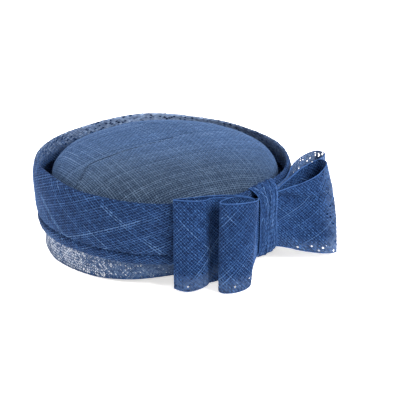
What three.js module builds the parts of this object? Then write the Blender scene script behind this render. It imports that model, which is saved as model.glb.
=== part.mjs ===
// A pillbox hat of open-weave straw cloth, with a ribbon bow at its front right.
// Millimetres, +Z up. The hat rests on the lower edge of its base strip and on the loops of its bow.
// Turns are degrees round the crown, anticlockwise from above: 0 is the right side, -90 the front.
import * as THREE from "three";

// Thickness of each cloth wall, and the clearance that neighbouring pieces keep
const CROWN_WALL = 1.5;
const BAND_WALL = 1.6;
const STRIP_WALL = 1.0;
const RIBBON_WALL = 1.0;
const KNOT_WALL = 1.2;
const GAP = 0.35;

// Half sizes of the band at its widest, outside the cloth, and how far the base strip stands inside it
const BELLY = { width: 100.4, depth: 95.2 };
const STRIP_INSET = 7.2;
const STRIP_TOP = 24;

// How far the lower edge lifts off the table behind the bow, and the share of that bell that is cut away
const FOOT_LIFT = 11.5;
const FOOT_LIFT_TURN = -42;
const FOOT_LIFT_SPREAD = 50;
const FOOT_LIFT_CUT = 0.1;

// Blocked crown: its foot stands above the strip's lower edge, and its dome rises from the wide shoulder
const CROWN_FOOT_RISE = 4;
const SHOULDER = { width: 88.2, depth: 84.5, shift: 2, height: 56 };
const CROWN_APEX = 80;
const DOME_FULLNESS = 0.82;

// The bow: the turn at which its knot holds it, and how far it draws the band in there
const KNOT_TURN = -41;
const BOW_DENT = 3;
const BOW_DENT_SPREAD = 16;

// Band profile from hem to rim: `out` from the belly, `give` the share of the bow's dent that a fold takes
const BAND_FOLDS = [
  { fold: "hem", height: 19, out: -5.3, give: 0 },
  { fold: "pleat", height: 26, out: -2.4, give: 0.5 },
  { fold: "crease", height: 28.5, out: -3.2, give: 0.6 },
  { fold: "face", height: 37, out: -0.9, give: 1 },
  { fold: "belly", height: 53, out: 0, give: 1 },
  { fold: "shoulder", height: 62, out: -0.1, give: 1 },
  { fold: "rim", height: 67, out: -0.9, give: 1 },
];

// The rim round the hat: how far it rises above its even height, and how far it is drawn in
const RIM_WAVE = [
  { turn: -152, rise: 3, draw: 3.6 },
  { turn: -125, rise: 1.4, draw: 2 },
  { turn: -95, rise: 0.3, draw: 0 },
  { turn: -41, rise: 0, draw: 0 },
  { turn: 8, rise: 0, draw: 2.3 },
  { turn: 40, rise: -0.5, draw: 3 },
  { turn: 65, rise: 0, draw: 1.2 },
  { turn: 98, rise: 1.3, draw: 0 },
  { turn: 135, rise: 0, draw: 1.5 },
  { turn: 175, rise: 0.5, draw: 1 },
];

// Bow loops, a row for each section of the ribbon, back from the knot, round the tip and home again.
// `out` is from the belly, `foot` and `top` are the ribbon's edges above the table,
// and `lean` is how much further out the lower edge stands than the upper one.
const LEFT_LONG_LOOP = [
  { section: "root back", turn: -47, out: -1.75, foot: 15.5, top: 60, lean: 0 },
  { section: "back", turn: -54, out: -0.05, foot: 9, top: 66, lean: 0 },
  { section: "back middle", turn: -66, out: 0.95, foot: 4, top: 71.5, lean: 0 },
  { section: "back far", turn: -79, out: 0.95, foot: 1, top: 72.5, lean: 0 },
  { section: "tip", turn: -86, out: 3.4, foot: 0.7, top: 72.5, lean: 1 },
  { section: "front far", turn: -80.5, out: 7, foot: 0.4, top: 73, lean: 0 },
  { section: "front middle", turn: -72, out: 6, foot: 4.5, top: 71.5, lean: 0 },
  { section: "front near", turn: -62.5, out: 2.9, foot: 10.5, top: 69, lean: 0 },
  { section: "front", turn: -54, out: 1.4, foot: 12.5, top: 65, lean: 0 },
  { section: "root front", turn: -47, out: -0.35, foot: 15.5, top: 60, lean: 0 },
  { section: "root", turn: -45.8, out: -1.05, foot: 16, top: 59, lean: 0 },
];
const LEFT_SHORT_LOOP = [
  { section: "root back", turn: -47, out: 1.1, foot: 15.5, top: 60, lean: 0 },
  { section: "back", turn: -54, out: 3.3, foot: 12, top: 66, lean: 0 },
  { section: "back far", turn: -61, out: 5.4, foot: 8, top: 70, lean: 0 },
  { section: "left", turn: -68, out: 9.6, foot: 4.5, top: 71, lean: -1 },
  { section: "left front", turn: -69.4, out: 15, foot: 1.5, top: 72, lean: -2 },
  { section: "front", turn: -65, out: 20, foot: 0.4, top: 72.5, lean: -4 },
  { section: "right front", turn: -57.6, out: 19.5, foot: 1.5, top: 71.5, lean: -6 },
  { section: "right", turn: -53.8, out: 12, foot: 5, top: 69, lean: -7 },
  { section: "gathers", turn: -51, out: 5.6, foot: 11, top: 64, lean: -1 },
  { section: "root front", turn: -47.8, out: 2.5, foot: 15.5, top: 60, lean: 0 },
  { section: "root", turn: -45.6, out: 1.8, foot: 16, top: 59, lean: 0 },
];
const RIGHT_FRONT_LOOP = [
  { section: "root", turn: -37.4, out: 1.8, foot: 16, top: 59, lean: 0 },
  { section: "root front", turn: -34.6, out: 2.3, foot: 15.5, top: 60, lean: 0 },
  { section: "front", turn: -30.6, out: 8, foot: 13, top: 62, lean: 0 },
  { section: "front middle", turn: -26.5, out: 17, foot: 9, top: 64, lean: 3 },
  { section: "front far", turn: -21.9, out: 29, foot: 5.5, top: 69, lean: 8 },
  { section: "tip", turn: -17.6, out: 34, foot: 3.5, top: 75, lean: 10 },
  { section: "back far", turn: -14.2, out: 26.5, foot: 4, top: 75, lean: 8 },
  { section: "back middle", turn: -17, out: 12.5, foot: 8, top: 70, lean: 2 },
  { section: "back", turn: -25, out: 4.6, foot: 11, top: 65, lean: 0 },
  { section: "root back", turn: -35, out: 1.1, foot: 15.5, top: 60, lean: 0 },
];
const RIGHT_BACK_LOOP = [
  { section: "root", turn: -37.2, out: -1.05, foot: 16, top: 59, lean: 0 },
  { section: "root front", turn: -36, out: -0.35, foot: 15.5, top: 60, lean: 0 },
  { section: "front", turn: -23, out: 2.1, foot: 10, top: 63, lean: 0 },
  { section: "front middle", turn: -14.4, out: 8.4, foot: 7, top: 67, lean: 0 },
  { section: "front far", turn: -10, out: 19, foot: 4, top: 70, lean: 1 },
  { section: "tip", turn: -5, out: 25.5, foot: 2, top: 72, lean: 1 },
  { section: "back far", turn: -2.2, out: 19.3, foot: 2, top: 72.5, lean: 0 },
  { section: "back middle", turn: -4.9, out: 9.4, foot: 3, top: 71, lean: 0 },
  { section: "back near", turn: -12, out: 1.6, foot: 5, top: 68, lean: 0 },
  { section: "back", turn: -23, out: 0.65, foot: 9, top: 64, lean: 0 },
  { section: "root back", turn: -36, out: -1.65, foot: 15.5, top: 60, lean: 0 },
];

// The knot's strip, from inside the band over the rim and down the front: half its width in degrees
const KNOT_SECTIONS = [
  { section: "inner end", out: -7, height: 50, half: 6.5 },
  { section: "inside", out: -7, height: 59, half: 7 },
  { section: "inside rim", out: -6.9, height: 66, half: 7.6 },
  { section: "over the rim", out: -4.6, height: 69, half: 7.9 },
  { section: "outside rim", out: -0.4, height: 67.2, half: 7.2 },
  { section: "upper face", out: 3.8, height: 61.5, half: 5.9 },
  { section: "middle face", out: 4.3, height: 40, half: 5.5 },
  { section: "lower face", out: 4.2, height: 17.5, half: 6 },
  { section: "tuck", out: 2.2, height: 13.6, half: 6 },
  { section: "outer end", out: -2.6, height: 13, half: 5.5 },
];

// How finely each piece is faceted
const CROWN_STEPS = 48;
const CROWN_WALL_ROWS = 2;
const CROWN_DOME_ROWS = 9;
const RING_STEPS = 60;
const BAND_ROWS = 12;
const STRIP_ROWS = 2;
const LOOP_STEPS_PER_SECTION = 3;
const RIBBON_ROWS = 4;
const KNOT_STEPS_PER_SECTION = 2;
const KNOT_ROWS = 5;

const PAINT = {
  crown: { color: 0x44618f, roughness: 0.8, metalness: 0 },
  band: { color: 0x2d5191, roughness: 0.8, metalness: 0 },
  baseStrip: { color: 0x8ea3c4, roughness: 0.85, metalness: 0 },
  ribbon: { color: 0x2a4f94, roughness: 0.75, metalness: 0 },
};

const radians = THREE.MathUtils.degToRad;

// Shortest signed way from one turn to another, in degrees
function turnBetween(from, to) {
  return THREE.MathUtils.euclideanModulo(to - from + 180, 360) - 180;
}

// Bell curve that is 1 at a turn and fades over the spread
function bell(turn, centre, spread) {
  const away = turnBetween(centre, turn) / spread;
  return Math.exp(-away * away);
}

// Height of the hat's lower edge at a turn: it rests on the table except behind the bow
function footHeight(turn) {
  const rise = bell(turn, FOOT_LIFT_TURN, FOOT_LIFT_SPREAD) - FOOT_LIFT_CUT;
  return (FOOT_LIFT * Math.max(rise, 0)) / (1 - FOOT_LIFT_CUT);
}

// Point at a turn and height, `out` from the band's belly
function aroundHat(turn, out, height) {
  const angle = radians(turn);
  const x = (BELLY.width + out) * Math.cos(angle);
  const y = (BELLY.depth + out) * Math.sin(angle);
  return new THREE.Vector3(x, y, height);
}

// Closed cloth wall about a middle surface. sheet(along, across) gives a point for shares from 0 to 1,
// with `across` upwards when `along` runs anticlockwise. A ring joins its own start.
function clothWall(sheet, { along, across, thick, ring }) {
  const columns = ring ? along : along + 1;
  const rows = across + 1;
  const tiny = 1e-3;
  const positions = [];
  const faces = [];

  function normalAt(s, t) {
    const from = ring ? (s - tiny + 1) % 1 : Math.max(s - tiny, 0);
    const to = ring ? (s + tiny) % 1 : Math.min(s + tiny, 1);
    const level = Math.min(t, 1 - 2 * tiny);
    const alongStep = sheet(to, level).sub(sheet(from, level));
    const acrossStep = sheet(s, level + tiny).sub(sheet(s, Math.max(level - tiny, 0)));
    return alongStep.cross(acrossStep).normalize();
  }

  for (const side of [0.5, -0.5]) {
    for (let i = 0; i < columns; i += 1) {
      for (let j = 0; j < rows; j += 1) {
        const s = i / along;
        const t = j / across;
        const point = sheet(s, t).addScaledVector(normalAt(s, t), side * thick);
        positions.push(point.x, point.y, point.z);
      }
    }
  }

  const outer = (i, j) => (i % columns) * rows + j;
  const inner = (i, j) => columns * rows + outer(i, j);
  const quad = (a, b, c, d) => faces.push(a, b, c, a, c, d);
  for (let i = 0; i < along; i += 1) {
    for (let j = 0; j < across; j += 1) {
      quad(outer(i, j), outer(i + 1, j), outer(i + 1, j + 1), outer(i, j + 1));
      quad(inner(i, j), inner(i, j + 1), inner(i + 1, j + 1), inner(i + 1, j));
    }
    quad(outer(i, 0), inner(i, 0), inner(i + 1, 0), outer(i + 1, 0));
    quad(outer(i, across), outer(i + 1, across), inner(i + 1, across), inner(i, across));
  }
  for (let j = 0; j < across && !ring; j += 1) {
    quad(outer(0, j), outer(0, j + 1), inner(0, j + 1), inner(0, j));
    quad(outer(along, j), inner(along, j), inner(along, j + 1), outer(along, j + 1));
  }

  const geometry = new THREE.BufferGeometry();
  geometry.setAttribute("position", new THREE.Float32BufferAttribute(positions, 3));
  geometry.setIndex(faces);
  geometry.computeVertexNormals();
  return geometry;
}

// Blocked crown: a side wall that stands just inside the base strip, and a full dome closed at its apex
function crownSheet() {
  const half = CROWN_WALL / 2;
  const footInset = STRIP_INSET + STRIP_WALL + GAP + half;
  const foot = { width: BELLY.width - footInset, depth: BELLY.depth - footInset };
  const wallShare = CROWN_WALL_ROWS / (CROWN_WALL_ROWS + CROWN_DOME_ROWS);
  const lerp = THREE.MathUtils.lerp;
  return (along, across) => {
    const angle = 2 * Math.PI * along;
    const up = Math.min(across / wallShare, 1);
    const arc = (Math.max(across - wallShare, 0) / (1 - wallShare)) * (Math.PI / 2);
    const reach = Math.max(Math.cos(arc), 0) ** DOME_FULLNESS;
    const width = lerp(foot.width, SHOULDER.width - half, up) * reach;
    const depth = lerp(foot.depth, SHOULDER.depth - half, up) * reach;
    const footLevel = CROWN_FOOT_RISE + footHeight(360 * along);
    const wallHeight = lerp(footLevel, SHOULDER.height, up);
    const height = wallHeight + (CROWN_APEX - half - SHOULDER.height) * Math.sin(arc);
    return new THREE.Vector3(
      SHOULDER.shift * up + width * Math.cos(angle),
      depth * Math.sin(angle),
      height,
    );
  };
}

// Rise and draw of the rim at a turn, eased between the rows of its table
function rimWave(turn) {
  const { euclideanModulo, lerp, smoothstep } = THREE.MathUtils;
  const next = Math.max(RIM_WAVE.findIndex((row) => row.turn > turn), 0);
  const before = RIM_WAVE.at(next - 1);
  const after = RIM_WAVE[next];
  const span = euclideanModulo(after.turn - before.turn, 360);
  const share = smoothstep(euclideanModulo(turn - before.turn, 360), 0, span);
  return { rise: lerp(before.rise, after.rise, share), draw: lerp(before.draw, after.draw, share) };
}

// Folded band: its profile runs from the hem up to the rim, and the bow draws it in at the knot
function bandSheet() {
  const profile = new THREE.SplineCurve(BAND_FOLDS.map((row) => new THREE.Vector2(row.out, row.height)));
  const giving = new THREE.SplineCurve(BAND_FOLDS.map((row) => new THREE.Vector2(row.give, 0)));
  const heightOf = (fold) => BAND_FOLDS.find((row) => row.fold === fold).height;
  const hem = heightOf("hem");
  const belly = heightOf("belly");
  const rim = heightOf("rim");
  return (along, across) => {
    const turn = 360 * along - 180;
    const { x: out, y: height } = profile.getPoint(across);
    const wave = rimWave(turn);
    const nearRim = Math.max((height - belly) / (rim - belly), 0);
    const dent = BOW_DENT * giving.getPoint(across).x * bell(turn, KNOT_TURN, BOW_DENT_SPREAD);
    const inward = BAND_WALL / 2 + dent + wave.draw * nearRim ** 2;
    return aroundHat(turn, out - inward, height + (wave.rise * (height - hem)) / (rim - hem));
  };
}

// Sheer base strip: an upright ring whose lower edge lifts behind the bow
function stripSheet() {
  return (along, across) => {
    const turn = 360 * along - 180;
    const height = THREE.MathUtils.lerp(footHeight(turn), STRIP_TOP, across);
    return aroundHat(turn, -STRIP_INSET - STRIP_WALL / 2, height);
  };
}

// Bow loop: a ribbon on edge, lofted between its lower and its upper edge
function loopSheet(rows) {
  const edge = (row, level, side) => aroundHat(row.turn, row.out + (side * row.lean) / 2, row[level]);
  const foot = new THREE.CatmullRomCurve3(rows.map((row) => edge(row, "foot", 1)), true);
  const top = new THREE.CatmullRomCurve3(rows.map((row) => edge(row, "top", -1)), true);
  return (along, across) => foot.getPoint(along).lerp(top.getPoint(along), across);
}

// Knot: a strip that hooks over the rim, narrower on its face than over the rim
function knotSheet() {
  const route = new THREE.CatmullRomCurve3(
    KNOT_SECTIONS.map((row) => new THREE.Vector3(row.out, row.height, row.half)),
  );
  return (along, across) => {
    const section = route.getPoint(along);
    const turn = KNOT_TURN + THREE.MathUtils.lerp(-section.z, section.z, across);
    return aroundHat(turn, section.x, section.y);
  };
}

function piece(name, paint, sheet, build) {
  const mesh = new THREE.Mesh(clothWall(sheet, build), new THREE.MeshStandardMaterial(paint));
  mesh.name = name;
  return mesh;
}

function loopPiece(name, rows) {
  const along = rows.length * LOOP_STEPS_PER_SECTION;
  const build = { along, across: RIBBON_ROWS, thick: RIBBON_WALL, ring: true };
  return piece(name, PAINT.ribbon, loopSheet(rows), build);
}

const hat = new THREE.Group();
hat.add(
  piece("crown", PAINT.crown, crownSheet(), {
    along: CROWN_STEPS,
    across: CROWN_WALL_ROWS + CROWN_DOME_ROWS,
    thick: CROWN_WALL,
    ring: true,
  }),
  piece("band", PAINT.band, bandSheet(), {
    along: RING_STEPS,
    across: BAND_ROWS,
    thick: BAND_WALL,
    ring: true,
  }),
  piece("base_strip", PAINT.baseStrip, stripSheet(), {
    along: RING_STEPS,
    across: STRIP_ROWS,
    thick: STRIP_WALL,
    ring: true,
  }),
  loopPiece("bow_loop_left_long", LEFT_LONG_LOOP),
  loopPiece("bow_loop_left_short", LEFT_SHORT_LOOP),
  loopPiece("bow_loop_right_front", RIGHT_FRONT_LOOP),
  loopPiece("bow_loop_right_back", RIGHT_BACK_LOOP),
  piece("bow_knot", PAINT.ribbon, knotSheet(), {
    along: (KNOT_SECTIONS.length - 1) * KNOT_STEPS_PER_SECTION,
    across: KNOT_ROWS,
    thick: KNOT_WALL,
    ring: false,
  }),
);

// The origin is the middle of the hat's footprint, on the surface that it rests on
const bounds = new THREE.Box3().setFromObject(hat);
const middle = bounds.getCenter(new THREE.Vector3());
hat.position.set(-middle.x, -middle.y, -bounds.min.z);

export default hat;
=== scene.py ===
# %% [markdown]
# This lesson dresses a soft pillbox hat of woven straw cloth. The real hat is sewn from one cloth: stiff,
# flat plant threads in an open plain weave, blue on blue, cut on the bias so that it bends into bands and
# loops. The CAD model gives every piece's place and size. Here each piece becomes a thin sheet of cloth
# with real threads woven through it, because from close by you see the threads, and at the sheer edges
# you look between them.

# %% Load the frame
import math

import bpy
import numpy as np
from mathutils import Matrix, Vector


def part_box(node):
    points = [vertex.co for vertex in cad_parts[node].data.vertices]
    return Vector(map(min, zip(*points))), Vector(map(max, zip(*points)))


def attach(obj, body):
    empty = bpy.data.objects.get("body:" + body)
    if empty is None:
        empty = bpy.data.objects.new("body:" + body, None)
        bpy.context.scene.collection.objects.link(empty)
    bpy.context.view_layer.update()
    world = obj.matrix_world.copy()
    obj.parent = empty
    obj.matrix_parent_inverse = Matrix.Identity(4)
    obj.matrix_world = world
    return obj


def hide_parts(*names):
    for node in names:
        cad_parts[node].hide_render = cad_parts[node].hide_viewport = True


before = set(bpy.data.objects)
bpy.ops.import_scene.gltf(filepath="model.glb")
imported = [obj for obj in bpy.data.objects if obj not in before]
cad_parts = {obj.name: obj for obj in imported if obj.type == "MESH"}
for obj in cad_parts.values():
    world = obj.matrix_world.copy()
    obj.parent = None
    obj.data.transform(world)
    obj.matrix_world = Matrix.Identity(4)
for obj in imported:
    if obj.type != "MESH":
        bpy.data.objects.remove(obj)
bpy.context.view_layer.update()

print("CAD nodes:", sorted(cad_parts))

# %% [markdown]
# Every part of the hat goes round the head, so the handiest coordinates are a turn round the crown, a
# distance out from the band's widest line, and a height. The base strip is an even oval about the hat's
# own axis, so the middle of its box is that axis. Tables below are in millimetres and degrees, as a
# hat maker would write them, and one function turns them into metres in the shared frame.

# %% Coordinates round the hat
MM = 0.001
BELLY_WIDTH = 100.4
BELLY_DEPTH = 95.2

strip_low, strip_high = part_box("base_strip")
AXIS_X = (strip_low.x + strip_high.x) / 2
AXIS_Y = (strip_low.y + strip_high.y) / 2


def on_hat(x, y, z):
    """Points in metres in the shared frame, from millimetres about the hat's axis."""
    return np.stack(np.broadcast_arrays(x * MM + AXIS_X, y * MM + AXIS_Y, z * MM), axis=-1)


def around_hat(turn, out, height):
    """Points at a turn in degrees, `out` from the band's belly, at a height."""
    angle = np.radians(turn)
    return on_hat((BELLY_WIDTH + out) * np.cos(angle), (BELLY_DEPTH + out) * np.sin(angle), height)


print(f"hat axis at x {AXIS_X:.5f}, y {AXIS_Y:.5f}")

# %% [markdown]
# Cloth never turns a hard corner here: a few given points are joined by a smooth curve. A centripetal
# Catmull-Rom curve passes through its points without loops or overshoot, and it is the same curve that
# the CAD model used, so the cloth lies where the CAD wall lies, apart from a few small swells and lifts.

# %% Smooth curves and falloffs
def smooth_curve(rows, at, closed):
    """Points of a centripetal Catmull-Rom curve through the rows, at shares `at` from 0 to 1."""
    rows = np.asarray(rows, float)
    if closed:
        knots = np.concatenate([rows[-1:], rows, rows[:2]])
        spans = len(rows)
    else:
        knots = np.concatenate([2 * rows[:1] - rows[1:2], rows, 2 * rows[-1:] - rows[-2:-1]])
        spans = len(rows) - 1
    place = np.clip(np.asarray(at, float), 0, 1) * spans
    span = np.minimum(place.astype(int), spans - 1)
    share = (place - span)[..., None]
    p0, p1, p2, p3 = (knots[span + k] for k in range(4))

    def knot_step(a, b):
        return np.maximum(np.sum((a - b) ** 2, axis=-1, keepdims=True) ** 0.25, 1e-4)

    d0, d1, d2 = knot_step(p0, p1), knot_step(p1, p2), knot_step(p2, p3)
    leave = ((p1 - p0) / d0 - (p2 - p0) / (d0 + d1) + (p2 - p1) / d1) * d1
    arrive = ((p2 - p1) / d1 - (p3 - p1) / (d1 + d2) + (p3 - p2) / d2) * d1
    curve = p1 + leave * share
    curve += (3 * (p2 - p1) - 2 * leave - arrive) * share**2
    return curve + (2 * (p1 - p2) + leave + arrive) * share**3


def turn_between(start, end):
    """Shortest signed way from one turn to another, in degrees."""
    return (end - start + 180) % 360 - 180


def bell(turn, centre, spread):
    """A bump that is 1 at a turn and fades over the spread."""
    return np.exp(-((turn_between(centre, turn) / spread) ** 2))


def ease(value, low, high):
    """0 below low, 1 above high, with a soft start and end. It falls where low is above high."""
    share = np.clip((value - low) / (high - low), 0, 1)
    return share * share * (3 - 2 * share)


print("curve check:", smooth_curve([[0, 0], [1, 1], [2, 0]], [0, 0.5, 1], False).round(3).tolist())

# %% [markdown]
# A piece of cloth is a grid of points with two maps. The map called "flat" holds where each corner lay on
# the cutting table, in metres, and "lattice" counts threads: a whole number there is a thread, and the
# square between four of them is a hole in the weave. UV maps belong to face corners, so a ring can close
# on itself and still count on across its seam. The attribute "sheer" says how open the cloth is, from 0
# where a second layer backs it to 1 where daylight comes through: it leaves a few holes open, and it sets
# how much daylight is painted into the threads and the holes.

# %% Grid of cloth
def lay_flat(points):
    """Lengths along and across a grid of points, averaged over its rows, in metres."""
    along = np.linalg.norm(np.diff(points, axis=0), axis=2).mean(axis=1)
    across = np.linalg.norm(np.diff(points, axis=1), axis=2).mean(axis=0)
    return np.concatenate([[0], np.cumsum(along)]), np.concatenate([[0], np.cumsum(across)])


def flat_size(points):
    """Length and width of a grid of points laid flat, in metres."""
    return tuple(float(lengths[-1]) for lengths in lay_flat(points))


def grid_mesh(name, points, corner_maps, sheer):
    """Mesh of a grid whose last column repeats its first if it is a ring. Points may share a pole."""
    columns, rows = points.shape[:2]
    flat_points = points.reshape(-1, 3)
    _, first, number = np.unique(
        np.round(flat_points, 8) + 0.0, axis=0, return_index=True, return_inverse=True
    )
    number = number.ravel()
    i, j = np.meshgrid(np.arange(columns - 1), np.arange(rows - 1), indexing="ij")
    corner = (i * rows + j).ravel()
    quads = np.stack([corner, corner + rows, corner + rows + 1, corner + 1], axis=1)
    faces = []
    sources = []
    for quad in quads:
        kept = [c for n, c in enumerate(quad) if number[c] != number[quad[n - 1]]]
        faces.append([int(number[c]) for c in kept])
        sources.extend(kept)
    mesh = bpy.data.meshes.new(name)
    mesh.from_pydata(flat_points[first].tolist(), [], faces)
    for map_name, values in corner_maps.items():
        layer = mesh.uv_layers.new(name=map_name)
        layer.uv.foreach_set("vector", values.reshape(-1, 2)[sources].astype(np.float32).ravel())
    openness = mesh.attributes.new("sheer", "FLOAT", "POINT")
    openness.data.foreach_set("value", sheer.ravel()[first].astype(np.float32))
    mesh.polygons.foreach_set("use_smooth", np.ones(len(faces), bool))
    return mesh


print("cloth grids carry the maps flat and lattice, and the attribute sheer")

# %% [markdown]
# Two families of threads make the weave, and bias cloth pulled round a hat is skewed, so each family has
# its own slant. On a ring the number of threads has to come out whole, so the pitch is nudged until the
# pattern meets itself at the seam, and the two counts are kept both odd or both even, so that over and
# under alternate across it too.

# %% Plan of a weave
PAST_ANY_CLOTH = 9.0


def plan_weave(flat_size, pitch, warp_slant, weft_slant, ring):
    """Steps from thread to thread on the flat cloth, and the threads needed to cover it."""
    length, width = flat_size
    slants = np.radians([warp_slant, weft_slant])
    normals = np.stack([-np.sin(slants), np.cos(slants)], axis=1)
    pitches = np.array([pitch, pitch])
    if ring:
        counts = np.maximum(np.round(length * np.abs(np.sin(slants)) / pitch), 1)
        counts[1] += (counts[0] + counts[1]) % 2
        pitches = length * np.abs(np.sin(slants)) / counts
    steps = np.linalg.inv(normals / pitches[:, None]).T
    corners = np.array([[0, 0], [length, 0], [0, width], [length, width]])
    spans = corners @ np.linalg.inv(steps)
    first = np.floor(spans.min(axis=0)).astype(int) - 2
    number = np.ceil(spans.max(axis=0)).astype(int) + 2 - first
    return {"steps": steps, "first": first, "number": number, "length": length if ring else PAST_ANY_CLOTH}


def thread_counts(plan, flat):
    """The lattice map: thread numbers at flat places, so that whole numbers are threads."""
    return flat @ np.linalg.inv(plan["steps"]) - 0.5


sample_plan = plan_weave((0.1, 0.05), 0.0015, 45, -45, False)
print("threads for a 100 x 50 mm piece:", sample_plan["number"].tolist())

# %% [markdown]
# The threads themselves could be painted as a texture, but a painted hole is not a hole. Geometry Nodes
# draws them instead: one straight line is copied once for each thread, its points are put at the places
# where threads cross on the flat cloth, and Sample UV Surface carries each crossing to its place on the
# bent sheet. The points then step to one side and the other of the cloth in turn, which is the over and
# under of a plain weave. The same tree lays both families, with the two steps given the other way round.

# %% Helpers for nodes
def add_node(tree, kind, inputs=None, **settings):
    """New node with its settings, and its inputs linked or filled in by name or by number."""
    made = tree.nodes.new(kind)
    for key, value in settings.items():
        setattr(made, key, value)
    for key, value in (inputs or {}).items():
        if isinstance(value, bpy.types.NodeSocket):
            tree.links.new(value, made.inputs[key])
        else:
            made.inputs[key].default_value = value
    return made


def math_node(tree, operation, *values):
    return add_node(tree, "ShaderNodeMath", dict(enumerate(values)), operation=operation).outputs[0]


def vector_node(tree, operation, *values):
    inputs = dict(enumerate(values))
    return add_node(tree, "ShaderNodeVectorMath", inputs, operation=operation).outputs[0]


def scaled(tree, vector, factor):
    inputs = {0: vector, "Scale": factor}
    return add_node(tree, "ShaderNodeVectorMath", inputs, operation="SCALE").outputs[0]


def random_node(tree, low, high, number, seed):
    inputs = {2: low, 3: high, "ID": number, "Seed": seed}
    return add_node(tree, "FunctionNodeRandomValue", inputs, data_type="FLOAT").outputs[1]


print("helpers for single nodes are ready")

# %% Helpers for trees
def noise_node(tree, scale, detail, place=None):
    """Outputs of a noise, read at a place, or else at each point's own position."""
    inputs = {"Scale": scale, "Detail": detail}
    if place is not None:
        inputs["Vector"] = place
    return add_node(tree, "ShaderNodeTexNoise", inputs).outputs


def soft_range(tree, value, low, high, at_low=0.0, at_high=1.0):
    """A value carried from one range to another, with a soft start and end."""
    inputs = {"Value": value, "From Min": low, "From Max": high, "To Min": at_low, "To Max": at_high}
    return add_node(tree, "ShaderNodeMapRange", inputs, interpolation_type="SMOOTHSTEP").outputs[0]


def stored(tree, geometry, name, value):
    """The geometry, with a number stored on each of its points."""
    inputs = {"Geometry": geometry, "Name": name, "Value": value}
    kind = "GeometryNodeStoreNamedAttribute"
    return add_node(tree, kind, inputs, data_type="FLOAT", domain="POINT").outputs[0]


def read_number(tree, name):
    """A number that is stored on the points of a geometry."""
    return add_node(tree, "GeometryNodeInputNamedAttribute", {"Name": name}, data_type="FLOAT").outputs[0]


def swept(tree, curve, sides, radius):
    """Tubes along curves, with a radius that may change along them."""
    ring = add_node(tree, "GeometryNodeCurvePrimitiveCircle", {"Resolution": sides, "Radius": 1.0})
    inputs = {"Curve": curve, "Profile Curve": ring.outputs[0], "Scale": radius, "Fill Caps": True}
    return add_node(tree, "GeometryNodeCurveToMesh", inputs).outputs[0]


def open_tree(name, inputs):
    """Geometry Nodes tree with a geometry in and out, and these named inputs."""
    tree = bpy.data.node_groups.new(name, "GeometryNodeTree")
    tree.interface.new_socket("Geometry", in_out="INPUT", socket_type="NodeSocketGeometry")
    for label, kind in inputs.items():
        tree.interface.new_socket(label, in_out="INPUT", socket_type="NodeSocket" + kind)
    tree.interface.new_socket("Geometry", in_out="OUTPUT", socket_type="NodeSocketGeometry")
    return tree, tree.nodes.new("NodeGroupInput").outputs


def close_tree(tree, geometry, material):
    """Ends a tree with smooth shading, its material and plain geometry."""
    smooth = add_node(tree, "GeometryNodeSetShadeSmooth", {"Geometry": geometry})
    inputs = {"Geometry": smooth.outputs[0], "Material": material}
    dyed = add_node(tree, "GeometryNodeSetMaterial", inputs)
    plain = add_node(tree, "GeometryNodeRealizeInstances", {"Geometry": dyed.outputs[0]})
    tree.links.new(plain.outputs[0], tree.nodes.new("NodeGroupOutput").inputs[0])


print("helpers for whole trees are ready")

# %% Lay the crossings out flat
THREAD_INPUTS = {
    "Thread step": "Vector",
    "Crossing step": "Vector",
    "Threads": "Int",
    "Crossings": "Int",
    "First thread": "Int",
    "First crossing": "Int",
    "Ring length": "Float",
    "Radius": "Float",
    "Crimp": "Float",
    "Wander": "Float",
    "Slub share": "Float",
    "Slub patches": "Float",
    "Thread seed": "Int",
    "Crossing seed": "Int",
    "Material": "Material",
}
UNEVEN_PITCH = 0.13
WANDER_SCALE = 55.0
SEAM_LAP = 0.0009

weave_tree, given = open_tree("woven_threads", THREAD_INPUTS)
one_line = add_node(weave_tree, "GeometryNodeCurvePrimitiveLine", {"End": (1, 0, 0)})
dotted = add_node(
    weave_tree,
    "GeometryNodeResampleCurve",
    {"Curve": one_line.outputs[0], "Count": given["Crossings"]},
)
lines = add_node(
    weave_tree,
    "GeometryNodeDuplicateElements",
    {"Geometry": dotted.outputs[0], "Amount": given["Threads"]},
    domain="SPLINE",
)
spline_place = add_node(weave_tree, "GeometryNodeSplineParameter")
thread_number = math_node(weave_tree, "ADD", lines.outputs[1], given["First thread"])
crossing_number = math_node(weave_tree, "ADD", spline_place.outputs["Index"], given["First crossing"])


def uneven_place(number, seed):
    """A thread's count plus a half, and a little off, as no two threads lie evenly."""
    off = random_node(weave_tree, 0.5 - UNEVEN_PITCH, 0.5 + UNEVEN_PITCH, number, seed)
    return math_node(weave_tree, "ADD", number, off)


flat_place = vector_node(
    weave_tree,
    "ADD",
    scaled(weave_tree, given["Thread step"], uneven_place(thread_number, given["Thread seed"])),
    scaled(weave_tree, given["Crossing step"], uneven_place(crossing_number, given["Crossing seed"])),
)
wander_noise = noise_node(weave_tree, WANDER_SCALE, 1.0, flat_place)
wander = vector_node(weave_tree, "SUBTRACT", wander_noise["Color"], (0.5, 0.5, 0.5))
wandered = vector_node(weave_tree, "ADD", flat_place, scaled(weave_tree, wander, given["Wander"]))
laid_flat = add_node(
    weave_tree,
    "GeometryNodeSetPosition",
    {"Geometry": lines.outputs[0], "Position": vector_node(weave_tree, "MULTIPLY", wandered, (1, 1, 0))},
)
print("threads laid flat:", len(weave_tree.nodes), "nodes")

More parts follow.
